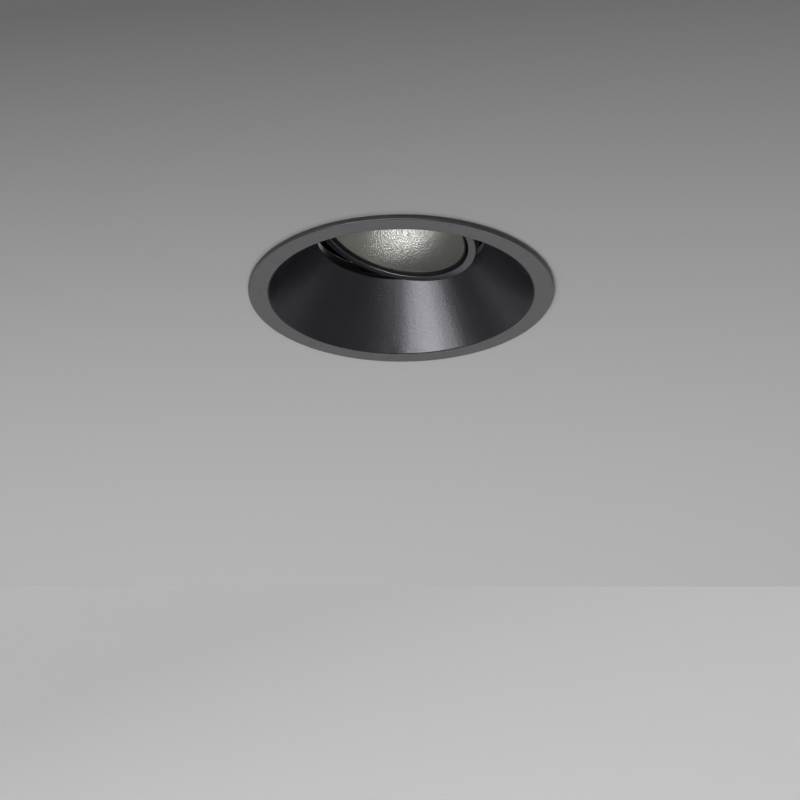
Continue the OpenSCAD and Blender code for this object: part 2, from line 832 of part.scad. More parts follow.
function spring_path() = concat(
    [[-2.5, -coil_half, -8], [-2.5, -coil_half, -4], [-2.2, -coil_half, -1.6]],
    [for (i = [0 : coil_steps]) let (a = 180 - coil_sweep * i / coil_steps)
        [coil_r * cos(a), coil_half * (2 * i / coil_steps - 1), coil_r * sin(a)]],
    [arm_point(2.4, 1.75, coil_half), arm_point(5, leg_v + 0.1, coil_half),
        arm_point(7, leg_v, coil_half), arm_point(12.5, leg_v, coil_half)]);

// Ring of wire points about path point i; the path never runs along Y
function wire_ring(path, i, sides) =
    let (last = len(path) - 1,
        ahead = path[min(i + 1, last)] - path[max(i - 1, 0)],
        t = ahead / norm(ahead),
        side = cross(t, [0, 1, 0]),
        n = side / norm(side),
        b = cross(t, n))
    [for (k = [0 : sides - 1]) path[i] + wire_r * (cos(360 * k / sides) * n + sin(360 * k / sides) * b)];

module clip_spring(turn) {
    sides = 8;
    path = spring_path();
    rings = len(path);
    points = [for (i = [0 : rings - 1]) each wire_ring(path, i, sides)];
    walls = [for (i = [0 : rings - 2], k = [0 : sides - 1])
        [i * sides + k, (i + 1) * sides + k, (i + 1) * sides + (k + 1) % sides, i * sides + (k + 1) % sides]];
    ends = [[for (k = [0 : sides - 1]) k], [for (k = [sides - 1 : -1 : 0]) (rings - 1) * sides + k]];
    color("#c9ccd0") at_clip(turn) polyhedron(points, concat(walls, ends));
}

// ---------- nodes ----------

trim_flange();
trim_cone();
neck_ring();
ceiling_gasket();
glide_ring();
friction_ring();
retaining_ring();
retaining_screws();
clip_bracket(0);  // clip_bracket_right
clip_bracket(180);  // clip_bracket_left
bracket_screws();
clip_pin(0);  // clip_pin_right
clip_pin(180);  // clip_pin_left
pin_clips();
clip_spring(0);  // clip_spring_right
clip_spring(180);  // clip_spring_left
clip_arm(0);  // clip_arm_right
clip_pad(0);  // clip_pad_right
clip_arm(180);  // clip_arm_left
clip_pad(180);  // clip_pad_left
swivel_ring();
stop_pin();
yoke_arm_slotted();
yoke_arm_plain();
yoke_screws();
pivot_screws();
friction_washers();
tilt_lock_screw();
lock_washer();
lamp_ring();
ring_seal();
lamp_barrel();
barrel_screws();
barrel_seal();
reflector();
led_window();
led_holder();
holder_screws();
led_board();
led_emitter();
thermal_pad();
heat_sink();
rear_cap();
rear_cap_screws();
gland_body();
gland_seal();
gland_nut();
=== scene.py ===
"""Looks of a recessed adjustable soffit downlight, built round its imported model."""

import logging
import math
from dataclasses import dataclass
from enum import Enum
from typing import Callable, Sequence

import bmesh
import bpy
from mathutils import Matrix, Vector, noise


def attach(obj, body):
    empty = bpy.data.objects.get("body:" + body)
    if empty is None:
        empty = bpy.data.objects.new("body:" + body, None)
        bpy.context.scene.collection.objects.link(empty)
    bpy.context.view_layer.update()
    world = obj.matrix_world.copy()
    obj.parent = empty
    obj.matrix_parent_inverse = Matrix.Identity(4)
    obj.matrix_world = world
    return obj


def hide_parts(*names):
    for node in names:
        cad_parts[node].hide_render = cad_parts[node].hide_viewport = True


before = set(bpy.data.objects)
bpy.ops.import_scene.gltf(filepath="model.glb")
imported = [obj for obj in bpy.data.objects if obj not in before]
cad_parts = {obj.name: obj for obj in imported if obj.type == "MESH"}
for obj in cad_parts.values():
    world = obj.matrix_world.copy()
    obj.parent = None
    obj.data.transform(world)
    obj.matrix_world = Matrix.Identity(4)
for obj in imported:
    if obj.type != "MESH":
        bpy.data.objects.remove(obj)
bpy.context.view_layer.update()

LOG = logging.getLogger("downlight")
MM = 0.001
FULL_TURN = 2 * math.pi
NOISE_ROUGHNESS = 0.55  # share of each finer octave in the noise
WELD = 1e-4  # millimetres within which a drawn mesh's vertices are one
EASED_SHARP = 50.0  # least angle of a CAD edge that is eased, in degrees
VOLUME_CHANGE = 0.04  # most of a solid's volume that easing its edges may change
LINE_LENGTH = 60.0  # length of a drawn line, in its own widths
Colour = tuple[float, float, float]
Point = tuple[float, float, float]


# ---------- places ----------


class Body(Enum):
    """The bodies that pieces ride on."""

    TRIM = "trim"
    SWIVEL = "swivel"
    LAMP = "lamp"
    CLIP_RIGHT = "clip_right"
    CLIP_LEFT = "clip_left"


@dataclass(frozen=True)
class Pose:
    """How the light stands at rest, in millimetres and degrees."""

    lamp_turn: float = 10.5
    lamp_tilt: float = 14.0
    pivot_z: float = 31.4
    pin_x: float = 45.5
    pin_z: float = 25.0
    arm_angle: float = -50.0

    def swivel(self) -> Matrix:
        """Axes of the swivel ring."""
        return Matrix.Rotation(math.radians(self.lamp_turn), 4, "Z")

    def lamp(self) -> Matrix:
        """Axes of the lamp about its pivots, +Z towards its rear."""
        lift = Matrix.Translation((0, 0, self.pivot_z))
        return self.swivel() @ lift @ Matrix.Rotation(math.radians(self.lamp_tilt), 4, "Y")

    def pin(self, turn: float) -> Matrix:
        """Axes at a clip pin, X outwards.

        Args:
            turn: 0 for the right-hand clip and 180 for the left-hand one.

        Returns:
            The matrix of those axes.
        """
        spin = Matrix.Rotation(math.radians(turn), 4, "Z")
        return spin @ Matrix.Translation((self.pin_x, 0, self.pin_z))

    def arm(self, turn: float) -> Matrix:
        """Axes of a clip arm, X along the arm and Z on its upper side.

        Args:
            turn: 0 for the right-hand clip and 180 for the left-hand one.

        Returns:
            The matrix of those axes.
        """
        return self.pin(turn) @ Matrix.Rotation(math.radians(-self.arm_angle), 4, "Y")


POSE = Pose()


class Axes(Enum):
    """Axes in which a piece is drawn and its finish is laid."""

    ROOM = "room"
    SWIVEL = "swivel"
    LAMP = "lamp"
    PIN_RIGHT = "pin_right"
    PIN_LEFT = "pin_left"
    ARM_RIGHT = "arm_right"
    ARM_LEFT = "arm_left"

    def matrix(self) -> Matrix:
        """Matrix of these axes at rest, in millimetres."""
        makers: dict[Axes, Callable[[], Matrix]] = {
            Axes.ROOM: lambda: Matrix.Identity(4),
            Axes.SWIVEL: POSE.swivel,
            Axes.LAMP: POSE.lamp,
            Axes.PIN_RIGHT: lambda: POSE.pin(0),
            Axes.PIN_LEFT: lambda: POSE.pin(180),
            Axes.ARM_RIGHT: lambda: POSE.arm(0),
            Axes.ARM_LEFT: lambda: POSE.arm(180),
        }
        return makers[self]()


# ---------- shader graphs ----------


class Num:
    """A number socket whose arithmetic adds Math nodes."""

    def __init__(self, graph: "Graph", socket: bpy.types.NodeSocket) -> None:
        """Keeps the graph and the socket."""
        self.graph, self.socket = graph, socket

    def __add__(self, other: "Num | float") -> "Num":
        """Sum."""
        return self.graph.math("ADD", self, other)

    __radd__ = __add__

    def __sub__(self, other: "Num | float") -> "Num":
        """Difference."""
        return self.graph.math("SUBTRACT", self, other)

    def __rsub__(self, other: float) -> "Num":
        """Difference from a number."""
        return self.graph.math("SUBTRACT", other, self)

    def __mul__(self, other: "Num | float") -> "Num":
        """Product."""
        return self.graph.math("MULTIPLY", self, other)

    __rmul__ = __mul__

    def __truediv__(self, other: "Num | float") -> "Num":
        """Quotient."""
        return self.graph.math("DIVIDE", self, other)

    def __pow__(self, other: "Num | float") -> "Num":
        """Power."""
        return self.graph.math("POWER", self, other)

    def clamp(self, low: float = 0.0, high: float = 1.0) -> "Num":
        """This value held between two numbers."""
        return self.graph.math("MINIMUM", self.graph.math("MAXIMUM", self, low), high)

    def over(self, edge: float, width: float) -> "Num":
        """Ramp from 0 below an edge to 1 above it.

        Args:
            edge: Middle of the ramp.
            width: Width of the ramp.

        Returns:
            The ramp's value.
        """
        return ((self - (edge - width / 2)) / width).clamp()


class Graph:
    """Node tree of a material or a world."""

    def __init__(
        self, owner: bpy.types.Material | bpy.types.World, place: Matrix | None = None
    ) -> None:
        """Starts an empty tree.

        Args:
            owner: The material or world.
            place: Axes that the patterns are laid in, in millimetres, or None for directions.
        """
        self.owner = owner
        owner.use_nodes = True
        self.tree = owner.node_tree
        self.tree.nodes.clear()
        coords = self.node("ShaderNodeTexCoord")
        if place is None:
            self.coords = coords.outputs["Generated"]
            return
        self.coords = self.node(
            "ShaderNodeMapping",
            {"vector_type": "TEXTURE"},
            {
                "Vector": coords.outputs["Object"],
                "Location": tuple(place.translation * MM),
                "Rotation": tuple(place.to_euler("XYZ")),
                "Scale": (MM, MM, MM),
            },
        ).outputs[0]

    def node(
        self, kind: str, settings: dict | None = None, inputs: dict | None = None
    ) -> bpy.types.Node:
        """Adds a node.

        Args:
            kind: The node's type.
            settings: Attributes that are set before the sockets.
            inputs: Sockets by name or index, with a value or a link each.

        Returns:
            The node.
        """
        made = self.tree.nodes.new(kind)
        for key, value in (settings or {}).items():
            setattr(made, key, value)
        for key, value in (inputs or {}).items():
            if isinstance(value, Num):
                value = value.socket
            if isinstance(value, bpy.types.NodeSocket):
                self.tree.links.new(value, made.inputs[key])
            else:
                made.inputs[key].default_value = value
        return made

    def math(self, operation: str, *values: "Num | float") -> Num:
        """Adds a Math node.

        Args:
            operation: The node's operation.
            values: Its inputs.

        Returns:
            The result.
        """
        made = self.node("ShaderNodeMath", {"operation": operation}, dict(enumerate(values)))
        return Num(self, made.outputs[0])

    def axis(self, index: int) -> Num:
        """One coordinate in millimetres.

        Args:
            index: 0, 1 or 2 for x, y or z.

        Returns:
            The coordinate.
        """
        parts = self.node("ShaderNodeSeparateXYZ", None, {0: self.coords})
        return Num(self, parts.outputs[index])

    def radius(self) -> Num:
        """Distance from the axes' Z line, in millimetres."""
        return self.math("SQRT", self.axis(0) ** 2.0 + self.axis(1) ** 2.0)

    def vector(
        self, x: "Num | float", y: "Num | float", z: "Num | float"
    ) -> bpy.types.NodeSocket:
        """Vector of three numbers."""
        return self.node("ShaderNodeCombineXYZ", None, {0: x, 1: y, 2: z}).outputs[0]

    def noise(
        self, grain: float, detail: float = 2.0, at: bpy.types.NodeSocket | None = None
    ) -> Num:
        """Noise between 0 and 1.

        Args:
            grain: Size of its grains, in millimetres.
            detail: Octaves.
            at: Coordinates, or None for the piece's own.

        Returns:
            The noise.
        """
        where = self.coords if at is None else at
        made = self.node(
            "ShaderNodeTexNoise",
            None,
            {"Vector": where, "Scale": 1 / grain, "Detail": detail, "Roughness": NOISE_ROUGHNESS},
        )
        return Num(self, made.outputs["Fac"])

    def cells(self, size: float) -> Num:
        """Distance to the nearest of random cell centres.

        Args:
            size: Size of the cells, in millimetres.

        Returns:
            The distance, in cells.
        """
        made = self.node("ShaderNodeTexVoronoi", None, {"Vector": self.coords, "Scale": 1 / size})
        return Num(self, made.outputs["Distance"])

    def blend(self, amount: "Num | float", low: Colour, high: Colour) -> bpy.types.NodeSocket:
        """Colour between two colours.

        Args:
            amount: 0 for the first colour and 1 for the second.
            low: The first colour.
            high: The second colour.

        Returns:
            The colour socket.
        """
        made = self.node(
            "ShaderNodeMix", {"data_type": "RGBA"}, {0: amount, 6: (*low, 1), 7: (*high, 1)}
        )
        return made.outputs[2]

    def bump(self, height: Num, depth: float) -> bpy.types.NodeSocket:
        """Normal bent by a height.

        Args:
            height: The height, 0 to 1.
            depth: Height of 1, in millimetres.

        Returns:
            The normal socket.
        """
        return self.node("ShaderNodeBump", None, {"Height": height, "Distance": depth * MM}).outputs[0]

    def surface(self, inputs: dict, one_sided: bool = False) -> bpy.types.Material:
        """Ends the tree in a Principled BSDF.

        Args:
            inputs: The shader's sockets.
            one_sided: True for a surface that isn't there when seen from behind.

        Returns:
            The material.
        """
        shader = self.node("ShaderNodeBsdfPrincipled", None, inputs)
        if one_sided:
            behind = self.node("ShaderNodeNewGeometry").outputs["Backfacing"]
            clear = self.node("ShaderNodeBsdfTransparent").outputs[0]
            shader = self.node(
                "ShaderNodeMixShader", None, {0: behind, 1: shader.outputs[0], 2: clear}
            )
        self.node("ShaderNodeOutputMaterial", None, {"Surface": shader.outputs[0]})
        return self.owner


# ---------- finishes ----------


def shade(colour: Colour, factor: float) -> Colour:
    """A colour made lighter or darker."""
    return tuple(min(c * factor, 1.0) for c in colour)


@dataclass(frozen=True)
class Finish:
    """A finish of one material slot."""

    slot: str
    colour: Colour
    roughness: float

    def material(self, axes: Axes) -> bpy.types.Material:
        """The finish's material in some axes, made once.

        Args:
            axes: Axes that the pattern is laid in.

        Returns:
            The material.
        """
        name = f"{self.slot}.{axes.value}"
        made = bpy.data.materials.get(name)
        return made or self.build(Graph(bpy.data.materials.new(name), axes.matrix()))

    def build(self, graph: Graph) -> bpy.types.Material:
        """Builds the node tree.

        Args:
            graph: The tree to fill.

        Returns:
            The material.
        """
        raise NotImplementedError


@dataclass(frozen=True)
class PowderCoat(Finish):
    """Baked powder paint: fine orange peel, faint specks and uneven gloss.

    Attributes:
        grain: Size of the orange peel, in millimetres.
        relief: Its depth.
        specular: Gloss of the clear binder.
        flake: Share of metal flake.
        glance: Share of the gloss that is left at grazing angles.
        cloud_size: Size of the patches of uneven gloss.
        speck_edge: Noise level over which a speck starts.
        darkest: Darkest tone, as a share of the colour.
        palest: Palest tone.
    """

    grain: float = 0.35
    relief: float = 0.012
    specular: float = 0.5
    flake: float = 0.0
    glance: float = 1.0
    cloud_size: float = 9.0
    speck_edge: float = 0.74
    darkest: float = 0.86
    palest: float = 1.22

    def build(self, graph: Graph) -> bpy.types.Material:
        """Builds the node tree."""
        peel = graph.noise(self.grain, 3.0)
        fine = graph.noise(self.grain * 0.32, 2.0)
        cloud = graph.noise(self.cloud_size, 3.0)
        speck = graph.noise(self.grain * 0.5, 0.0).over(self.speck_edge, 0.08)
        tone = (cloud * 0.45 + fine * 0.35 + speck * 0.6).clamp()
        low, high = shade(self.colour, self.darkest), shade(self.colour, self.palest)
        return graph.surface(
            {
                "Base Color": graph.blend(tone, low, high),
                "Roughness": self.roughness - 0.05 + cloud * 0.06 + fine * 0.05,
                "Metallic": self.flake,
                "Specular IOR Level": self.specular,
                "Specular Tint": (self.glance, self.glance, self.glance, 1),
                "Normal": graph.bump(peel * 0.7 + fine * 0.3, self.relief),
            }
        )


class Lay(Enum):
    """Direction of the fine lines that a process leaves in metal."""

    TURNED = "turned"
    DRAWN_X = "drawn_x"
    DRAWN_Z = "drawn_z"
    CAST = "cast"

    def at(self, graph: Graph, line: float) -> bpy.types.NodeSocket:
        """Coordinates in which noise becomes lines of this lay.

        Args:
            graph: The material's tree.
            line: Width of a line, in millimetres.

        Returns:
            The coordinates, one unit to a line.
        """
        x, y, z = (graph.axis(i) for i in range(3))
        long = line * LINE_LENGTH
        if self is Lay.TURNED:
            return graph.vector(graph.radius() / line, z / line, 0.0)
        if self is Lay.DRAWN_X:
            return graph.vector(x / long, y / line, z / line)
        if self is Lay.DRAWN_Z:
            return graph.vector(x / line, y / line, z / long)
        return graph.vector(x / line, y / line, z / line)


@dataclass(frozen=True)
class Metal(Finish):
    """Bare or plated metal with the lines of its making and a little staining."""

    lay: Lay = Lay.CAST
    line: float = 0.12
    relief: float = 0.004
    tint: Colour = (1.0, 0.97, 0.9)
    stain_size: float = 5.5
    smudge_size: float = 1.6
    dulling: float = 0.82

    def build(self, graph: Graph) -> bpy.types.Material:
        """Builds the node tree."""
        lines = graph.noise(1.0, 3.0, self.lay.at(graph, self.line))
        stain = graph.noise(self.stain_size, 4.0)
        smudge = graph.noise(self.smudge_size, 2.0)
        tone = (stain.over(0.52, 0.5) * 0.6 + lines * 0.4).clamp()
        dull = tuple(c * t * self.dulling for c, t in zip(self.colour, self.tint))
        return graph.surface(
            {
                "Base Color": graph.blend(tone, dull, shade(self.colour, 1.06)),
                "Metallic": 1.0,
                "Roughness": self.roughness - 0.07 + stain * 0.08 + smudge * 0.06 + lines * 0.06,
                "Normal": graph.bump(lines, self.relief),
            }
        )


@dataclass(frozen=True)
class PeenedMirror(Finish):
    """Bright aluminium with a peened, pebbled face that breaks up the light.

    Attributes:
        pebble: Size of the pebbles, in millimetres.
        relief: Their depth.
        rim_shade_z: Height under which the rolled rim is painted dark, a painted shade that hides the
            light the rim catches.
        rim_shade_tone: Tone of that painted shade, as a share of the colour.
        haze_size: Size of the patches of haze.
    """

    pebble: float = 0.55
    relief: float = 0.075
    rim_shade_z: float = -8.3
    rim_shade_tone: float = 0.06
    haze_size: float = 3.5

    def build(self, graph: Graph) -> bpy.types.Material:
        """Builds the node tree."""
        pebbles = 1.0 - graph.cells(self.pebble)
        fine = graph.noise(self.pebble * 0.45, 2.0)
        haze = graph.noise(self.haze_size, 3.0)
        height = pebbles * 0.8 + fine * 0.35
        # Painted shade: the rolled rim under rim_shade_z is painted near black.
        face = graph.axis(2).over(self.rim_shade_z, 0.2)
        tone = face * (0.75 + fine * 0.15 + haze * 0.1)
        return graph.surface(
            {
                "Base Color": graph.blend(tone, shade(self.colour, self.rim_shade_tone), self.colour),
                "Metallic": 1.0,
                "Roughness": self.roughness + haze * 0.08,
                "Normal": graph.bump(height, self.relief),
            }
        )


@dataclass(frozen=True)
class Moulded(Finish):
    """Moulded plastic, rubber or ceramic with a fine matt grain."""

    grain: float = 0.18
    relief: float = 0.01
    spread: float = 0.12
    glow: float = 0.0
    cloud_size: float = 4.0
    depth: float = 0.0006

    def build(self, graph: Graph) -> bpy.types.Material:
        """Builds the node tree."""
        grain = graph.noise(self.grain, 3.0)
        cloud = graph.noise(self.cloud_size, 3.0)
        low, high = shade(self.colour, 1 - self.spread), shade(self.colour, 1 + self.spread)
        return graph.surface(
            {
                "Base Color": graph.blend(cloud * 0.7 + grain * 0.3, low, high),
                "Roughness": self.roughness - 0.05 + grain * 0.08 + cloud * 0.04,
                "Normal": graph.bump(grain, self.relief),
                "Subsurface Weight": self.glow,
                "Subsurface Scale": self.depth,
            }
        )


@dataclass(frozen=True)
class Glass(Finish):
    """Clear glass with faint smears."""

    smear_size: float = 2.4
    ior: float = 1.5

    def build(self, graph: Graph) -> bpy.types.Material:
        """Builds the node tree."""
        smear = graph.noise(self.smear_size, 3.0)
        return graph.surface(
            {
                "Base Color": (*self.colour, 1),
                "Roughness": self.roughness + smear * 0.05,
                "IOR": self.ior,
                "Transmission Weight": 1.0,
            }
        )


@dataclass(frozen=True)
class Phosphor(Finish):
    """Unlit phosphor over a grid of chips, under a soft gel."""

    pitch: float = 1.5
    grain: float = 0.25
    relief: float = 0.02

    def build(self, graph: Graph) -> bpy.types.Material:
        """Builds the node tree."""
        wave = [graph.math("SINE", graph.axis(i) * (FULL_TURN / self.pitch)) for i in (0, 1)]
        chips = (wave[0] * wave[1]).over(0.25, 0.5)
        grain = graph.noise(self.grain, 2.0)
        tone = chips * 0.6 + grain * 0.3
        return graph.surface(
            {
                "Base Color": graph.blend(tone, self.colour, shade(self.colour, 0.72)),
                "Roughness": self.roughness + grain * 0.1,
                "Coat Weight": 0.35,
                "Coat Roughness": 0.12,
                "Normal": graph.bump(grain + chips * 0.4, self.relief),
            }
        )


TRIM_COAT = PowderCoat("trim_coat", (0.032, 0.032, 0.0355), 0.28, specular=0.6)
CONE_COAT = PowderCoat(
    "cone_coat", (0.060, 0.0588, 0.0655), 0.25,
    grain=0.9, relief=0.07, specular=0.5, flake=0.7, glance=0.2,
)
RING_COAT = PowderCoat(
    "ring_coat", (0.022, 0.022, 0.025), 0.18, grain=0.3, relief=0.005, specular=0.8
)
BARREL_BLACK = Metal("barrel_black", (0.045, 0.045, 0.05), 0.36, Lay.TURNED, 0.16, 0.004)
SINK_ALLOY = Metal("sink_alloy", (0.60, 0.61, 0.63), 0.36, Lay.DRAWN_Z, 0.14, 0.006)
BRIGHT_STEEL = Metal(
    "bright_steel", (0.62, 0.63, 0.65), 0.30, Lay.CAST, 0.25, 0.004, (1.0, 0.96, 0.86)
)
SPRING_STEEL = Metal("spring_steel", (0.56, 0.57, 0.59), 0.26, Lay.DRAWN_X, 0.09, 0.003)
YOKE_STEEL = Metal("yoke_steel", (0.10, 0.102, 0.11), 0.38, Lay.CAST, 0.3, 0.004)
SWIVEL_ALLOY = Metal("swivel_alloy", (0.045, 0.045, 0.05), 0.40, Lay.TURNED, 0.12, 0.005)
SEAL_RUBBER = Moulded("seal_rubber", (0.018, 0.018, 0.019), 0.72, 0.22, 0.014, 0.2)
SLIDE_POLYMER = Moulded("slide_polymer", (0.72, 0.72, 0.68), 0.42, 0.3, 0.006, 0.05, 0.15)
REFLECTOR_SILVER = PeenedMirror("reflector_silver", (0.45, 0.455, 0.43), 0.28, 0.55, 0.19)
CLEAR_GLASS = Glass("clear_glass", (0.93, 0.96, 0.97), 0.02)
HOLDER_WHITE = Moulded("holder_white", (0.78, 0.78, 0.76), 0.45, 0.3, 0.006, 0.04, 0.1)
BOARD_CERAMIC = Moulded("board_ceramic", (0.70, 0.71, 0.73), 0.3, 0.12, 0.003, 0.06)
PHOSPHOR = Phosphor("phosphor", (0.85, 0.60, 0.10), 0.45)
PAD_GREY = Moulded("pad_grey", (0.24, 0.26, 0.30), 0.8, 0.15, 0.02, 0.1)
GLAND_BLACK = Moulded("gland_black", (0.022, 0.022, 0.024), 0.5, 0.16, 0.009, 0.15)


# ---------- mesh work ----------


@dataclass(frozen=True)
class Peening:
    """Shallow dimples that are hammered into a surface, in millimetres."""

    grain: float
    depth: float

    def apply(self, bm: bmesh.types.BMesh, chosen: Callable[[bmesh.types.BMVert], bool]) -> None:
        """Moves some of a mesh's vertices along their normals.

        Args:
            bm: The mesh.
            chosen: True for a vertex that is dimpled.
        """
        bm.normal_update()
        moves = [
            (v, v.normal * (noise.voronoi(v.co / self.grain)[0][0] * self.depth))
            for v in bm.verts
            if chosen(v)
        ]
        for vert, move in moves:
            vert.co += move


@dataclass(frozen=True)
class Corner:
    """A corner of a turned profile, in millimetres."""

    r: float
    z: float
    round: float = 0.0


def is_closed(mesh: bmesh.types.BMesh) -> bool:
    """True if every edge joins two faces."""
    return all(len(e.link_faces) == 2 for e in mesh.edges)


class Shape:
    """A mesh in the making, in millimetres in some axes."""

    def __init__(self, axes: Axes) -> None:
        """Starts empty.

        Args:
            axes: Axes that the shape is drawn in.
        """
        self.axes = axes
        self.bm = bmesh.new()

    def lathe(self, corners: Sequence[Corner], steps: int = 192) -> "Shape":
        """Turns a closed profile about the Z axis.

        Args:
            corners: The profile's corners, each with its rounding.
            steps: Steps round the axis.

        Returns:
            This shape.
        """
        part = bmesh.new()
        verts = [part.verts.new((c.r, 0, c.z)) for c in corners]
        for a, b in zip(verts, verts[1:] + verts[:1]):
            part.edges.new((a, b))
        for vert, corner in zip(verts, corners):
            if corner.round > 0:
                bmesh.ops.bevel(
                    part, geom=[vert], offset=corner.round, offset_type="OFFSET", segments=5,
                    profile=0.5, affect="VERTICES", material=-1, clamp_overlap=True,
                )
        bmesh.ops.spin(
            part, geom=part.verts[:] + part.edges[:], cent=(0, 0, 0), axis=(0, 0, 1),
            dvec=(0, 0, 0), angle=FULL_TURN, steps=steps, use_merge=True, use_duplicate=False,
        )
        bmesh.ops.remove_doubles(part, verts=part.verts[:], dist=WELD)
        bmesh.ops.dissolve_degenerate(part, edges=part.edges[:], dist=WELD)
        self._take(part)
        return self

    def block(self, low: Point, high: Point, edge: float = 0.0, place: Matrix | None = None) -> "Shape":
        """Adds a box with rounded edges.

        Args:
            low: Its lowest corner.
            high: Its highest corner.
            edge: Radius of its edges.
            place: Where it goes in the shape's axes.

        Returns:
            This shape.
        """
        part = bmesh.new()
        size = Vector(high) - Vector(low)
        centre = (Vector(high) + Vector(low)) / 2
        matrix = Matrix.Translation(centre) @ Matrix.Diagonal((*size, 1))
        bmesh.ops.create_cube(part, size=1.0, matrix=(place or Matrix.Identity(4)) @ matrix)
        if edge > 0:
            bmesh.ops.bevel(
                part, geom=part.edges[:], offset=edge, offset_type="OFFSET", segments=3,
                profile=0.5, affect="EDGES", material=-1, clamp_overlap=True,
            )
        self._take(part)
        return self

    def _take(self, part: bmesh.types.BMesh) -> None:
        """Adds a finished closed part with its faces outwards.

        Args:
            part: The part, which is freed.
        """
        bmesh.ops.recalc_face_normals(part, faces=part.faces[:])
        mesh = bpy.data.meshes.new("part")
        part.to_mesh(mesh)
        part.free()
        self.bm.from_mesh(mesh)
        bpy.data.meshes.remove(mesh)

    def piece(
        self, name: str, body: Body, finish: Finish, *nodes: str, sharp: float = 40.0
    ) -> bpy.types.Object:
        """Ends the shape as a piece of the light.

        Args:
            name: The piece's name.
            body: Body that it rides on.
            finish: Its finish.
            nodes: CAD nodes that it stands for.
            sharp: Least angle of an edge that stays sharp, in degrees.

        Returns:
            The object.
        """
        if not is_closed(self.bm):
            LOG.warning("%s is not closed", name)
        place = Matrix.Scale(MM, 4) @ self.axes.matrix()
        bmesh.ops.transform(self.bm, matrix=place, verts=self.bm.verts[:])
        return dress(self.bm, name, body, finish, self.axes, nodes, sharp)


def dress(
    bm: bmesh.types.BMesh,
    name: str,
    body: Body,
    finish: Finish,
    axes: Axes,
    nodes: Sequence[str],
    sharp: float,
) -> bpy.types.Object:
    """Makes a mesh that is in place into a finished piece.

    Args:
        bm: The mesh, in metres, which is freed.
        name: The piece's name.
        body: Body that it rides on.
        finish: Its finish.
        axes: Axes that the finish is laid in.
        nodes: CAD nodes that it stands for.
        sharp: Least angle of an edge that stays sharp, in degrees.

    Returns:
        The object.
    """
    for face in bm.faces:
        face.smooth = True
    for edge in bm.edges:
        joined = len(edge.link_faces) == 2
        edge.smooth = joined and edge.calc_face_angle(0.0) < math.radians(sharp)
    mesh = bpy.data.meshes.new(name)
    bm.to_mesh(mesh)
    bm.free()
    mesh.materials.append(finish.material(axes))
    piece = bpy.data.objects.new(name, mesh)
    bpy.context.scene.collection.objects.link(piece)
    flat = piece.modifiers.new("flat_faces", "WEIGHTED_NORMAL")
    flat.keep_sharp = True
    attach(piece, body.value)
    if nodes:
        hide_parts(*nodes)
    LOG.info("%s: %d faces on %s, %s", name, len(mesh.polygons), body.value, finish.slot)
    return piece


def eased(
    node: str, body: Body, finish: Finish, axes: Axes, edge: float, sharp: float = 40.0
) -> None:
    """Gives a CAD node's shape eased edges and a finish.

    Args:
        node: The CAD node that the piece stands for.
        body: Body that it rides on.
        finish: Its finish.
        axes: Axes that the finish is laid in.
        edge: Width of the eased edges, in millimetres.
        sharp: Least angle of an edge that stays sharp, in degrees.
    """
    bm = bmesh.new()
    bm.from_mesh(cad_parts[node].data)
    bmesh.ops.remove_doubles(bm, verts=bm.verts[:], dist=2e-6)
    bmesh.ops.dissolve_degenerate(bm, edges=bm.edges[:], dist=1e-6)
    bmesh.ops.dissolve_limit(
        bm, angle_limit=math.radians(0.4), use_dissolve_boundaries=False,
        verts=bm.verts[:], edges=bm.edges[:],
    )
    plain, volume = bm.copy(), bm.calc_volume()
    least = math.radians(EASED_SHARP)
    corners = [e for e in bm.edges if len(e.link_faces) == 2 and e.calc_face_angle(0.0) > least]
    if corners:
        bmesh.ops.bevel(
            bm, geom=corners, offset=edge * MM, offset_type="OFFSET", segments=2,
            profile=0.5, affect="EDGES", material=-1, clamp_overlap=True,
        )
        bmesh.ops.remove_doubles(bm, verts=bm.verts[:], dist=1e-6)
    changed = abs(bm.calc_volume() - volume) > VOLUME_CHANGE * volume
    if is_closed(plain) and (not is_closed(bm) or changed):
        LOG.warning("%s keeps its plain edges", node)
        bm, plain = plain, bm
    plain.free()
    dress(bm, f"{node}_finished", body, finish, axes, [node], sharp)


def wire(
    name: str,
    points: Sequence[Point],
    radius: float,
    axes: Axes,
    body: Body,
    finish: Finish,
    *nodes: str,
) -> None:
    """Adds a piece of round wire.

    Args:
        name: The piece's name.
        points: Its centre line, in millimetres.
        radius: Its radius.
        axes: Axes that the points are in.
        body: Body that it rides on.
        finish: Its finish.
        nodes: CAD nodes that it stands for.
    """
    curve = bpy.data.curves.new(name, "CURVE")
    curve.dimensions, curve.bevel_depth = "3D", radius
    curve.bevel_resolution, curve.use_fill_caps = 3, True
    spline = curve.splines.new("POLY")
    spline.points.add(len(points) - 1)
    for target, point in zip(spline.points, points):
        target.co = (*point, 1)
    holder = bpy.data.objects.new(name + "_line", curve)
    bpy.context.scene.collection.objects.link(holder)
    solved = holder.evaluated_get(bpy.context.evaluated_depsgraph_get())
    mesh = bpy.data.meshes.new_from_object(solved)
    bm = bmesh.new()
    bm.from_mesh(mesh)
    bpy.data.objects.remove(holder)
    bpy.data.meshes.remove(mesh)
    bmesh.ops.remove_doubles(bm, verts=bm.verts[:], dist=WELD)
    bmesh.ops.recalc_face_normals(bm, faces=bm.faces[:])
    bmesh.ops.transform(bm, matrix=Matrix.Scale(MM, 4) @ axes.matrix(), verts=bm.verts[:])
    dress(bm, name, body, finish, axes, nodes, sharp=50.0)


# ---------- sub-assemblies ----------


